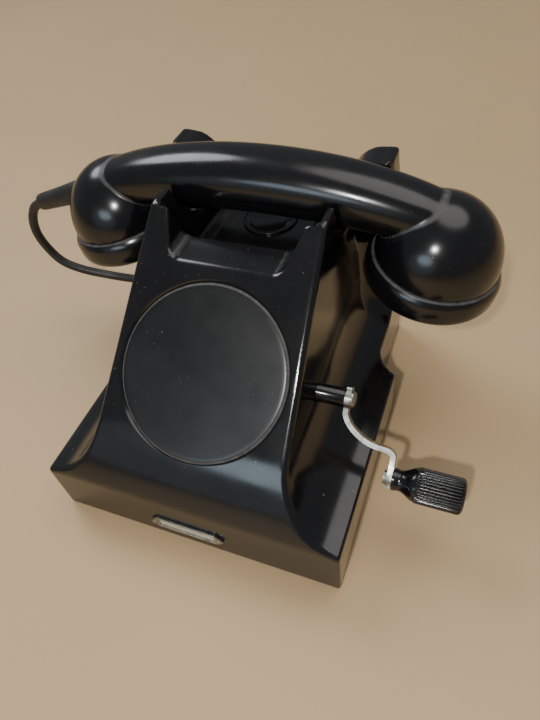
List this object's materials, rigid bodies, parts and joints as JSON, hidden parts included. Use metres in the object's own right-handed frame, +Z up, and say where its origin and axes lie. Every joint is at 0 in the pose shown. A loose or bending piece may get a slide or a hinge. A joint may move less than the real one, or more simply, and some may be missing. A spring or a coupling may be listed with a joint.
{
  "type": "crank telephone",
  "caption": "Black moulded desk telephone with sloping front, blanked dial opening, cradle handset on a cord and a side crank for its ringing generator.",
  "frame": {"origin": "centre of the housing's footprint, on the surface it stands on", "axes": "+X right as seen by the user, towards the crank; +Y towards the back; +Z up"},
  "size_m": [0.2797, 0.2671, 0.138],
  "materials": {
    "bakelite": "gloss",
    "bakelite_worn": "satin",
    "nickel": "polished",
    "steel": "satin",
    "brass": "satin",
    "magnet": "satin",
    "copper": "satin",
    "rubber": "matte",
    "card": "matte",
    "felt": "matte"
  },
  "bodies": {
    "root": {"housing": "bakelite", "base_plate": "steel", "base_pad": "felt", "case_screws": "steel", "dial_blank": "bakelite_worn", "blank_clamp": "steel", "blank_screws": "brass", "well_cap": "bakelite", "label_frame": "nickel", "label_card": "card", "label_screws": "nickel", "cord_gland": "rubber", "line_inlet": "rubber", "handset_cord": "rubber", "cord_coil": "rubber", "cord_tail": "rubber", "cord_tie": "card", "hook_bracket": "steel", "hook_contacts": "brass", "crank_bush": "bakelite", "generator_frame": "steel", "generator_magnets": "magnet", "pole_pieces": "steel", "ringer_frame": "steel", "ringer_coils": "copper", "gong_left": "nickel", "gong_right": "nickel", "gong_screws": "brass", "induction_coil": "copper", "capacitor": "nickel", "terminal_block": "bakelite"},
    "handset": {"handset_handle": "bakelite", "receiver_cap": "bakelite", "transmitter_cap": "bakelite", "receiver_capsule": "steel", "transmitter_capsule": "brass", "cord_sleeve": "rubber"},
    "plungers": {"plunger_left": "bakelite", "plunger_right": "bakelite"},
    "rocker": {"hook_rocker": "steel"},
    "crank": {"crank_shaft": "steel", "crank_arm": "nickel", "crank_nut": "nickel", "crank_gear": "brass", "knob_pin": "nickel"},
    "knob": {"crank_knob": "bakelite"},
    "armature": {"armature": "copper", "armature_pinion": "steel"},
    "clapper": {"clapper": "brass"}
  },
  "joints": [
    {"name": "handset_lift", "type": "slide", "parent": "root", "child": "handset", "axis": [0, 0, 1], "range_m": [0, 0.1]},
    {"name": "plunger_rise", "type": "slide", "parent": "root", "child": "plungers", "axis": [0, 0, 1], "range_m": [0, 0.004]},
    {"name": "rocker_tilt", "type": "hinge", "parent": "root", "child": "rocker", "pos_m": [0, 0.06, 0.088], "axis": [-1, 0, 0], "range_deg": [0, 14.4]},
    {"name": "crank_turn", "type": "hinge", "parent": "root", "child": "crank", "pos_m": [0, -0.0225, 0.059], "axis": [1, 0, 0], "continuous": true},
    {"name": "knob_spin", "type": "hinge", "parent": "crank", "child": "knob", "pos_m": [0.1, -0.04442, 0.03708], "axis": [1, 0, 0], "continuous": true},
    {"name": "armature_spin", "type": "hinge", "parent": "root", "child": "armature", "pos_m": [0, -0.00707, 0.04061], "axis": [1, 0, 0], "continuous": true},
    {"name": "clapper_swing", "type": "hinge", "parent": "root", "child": "clapper", "pos_m": [0, 0.027, 0.0195], "axis": [0, 0, 1], "range_deg": [-2, 2]}
  ],
  "couplings": [
    {"joint": "plunger_rise", "follows": "handset_lift", "ratio": 0.04},
    {"joint": "rocker_tilt", "follows": "handset_lift", "rad_per_m": 2.5},
    {"joint": "armature_spin", "follows": "crank_turn", "ratio": -4}
  ]
}
